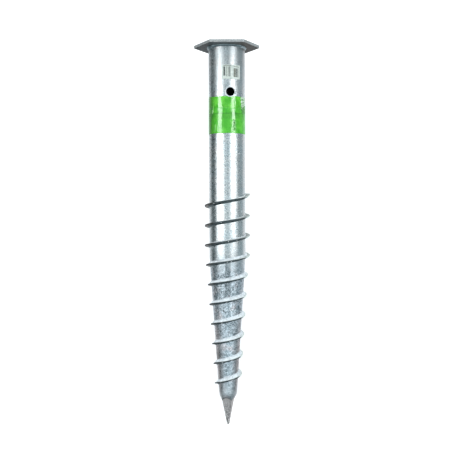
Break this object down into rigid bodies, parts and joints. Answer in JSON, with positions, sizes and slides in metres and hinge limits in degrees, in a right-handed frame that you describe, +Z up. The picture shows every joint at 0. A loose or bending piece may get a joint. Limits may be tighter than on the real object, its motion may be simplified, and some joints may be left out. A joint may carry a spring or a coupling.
{
  "type": "helical pile",
  "caption": "Galvanised ground screw: tube with a hexagonal head plate, cross hole, welded helical strip flight, swaged taper and pressed point, with marking tape and label.",
  "frame": {"origin": "on the floor under the middle of the lying pile's box", "axes": "+Z up; the pile lies along Y with its head plate towards +Y and its point towards -Y, leaning 1.6 degrees down towards the point; the side seen in the picture faces +Z"},
  "size_m": [0.1378, 0.8014, 0.1201],
  "materials": {
    "galvanised_steel": "hot-dip galvanised, dull spangle, slightly glossy",
    "galvanised_weld": "hot-dip galvanised weld bead, rippled",
    "green_tape": "glossy wrinkled film",
    "label_paper": "coated paper with plain printed bars"
  },
  "bodies": {
    "root": {"shaft": "galvanised_steel", "head_plate": "galvanised_steel", "head_nut": "galvanised_steel", "nut_weld": "galvanised_weld", "head_weld": "galvanised_weld", "helix_flight": "galvanised_steel", "flight_weld_upper": "galvanised_weld", "flight_weld_lower": "galvanised_weld", "marking_band": "green_tape", "stock_label": "label_paper"}
  },
  "joints": []
}
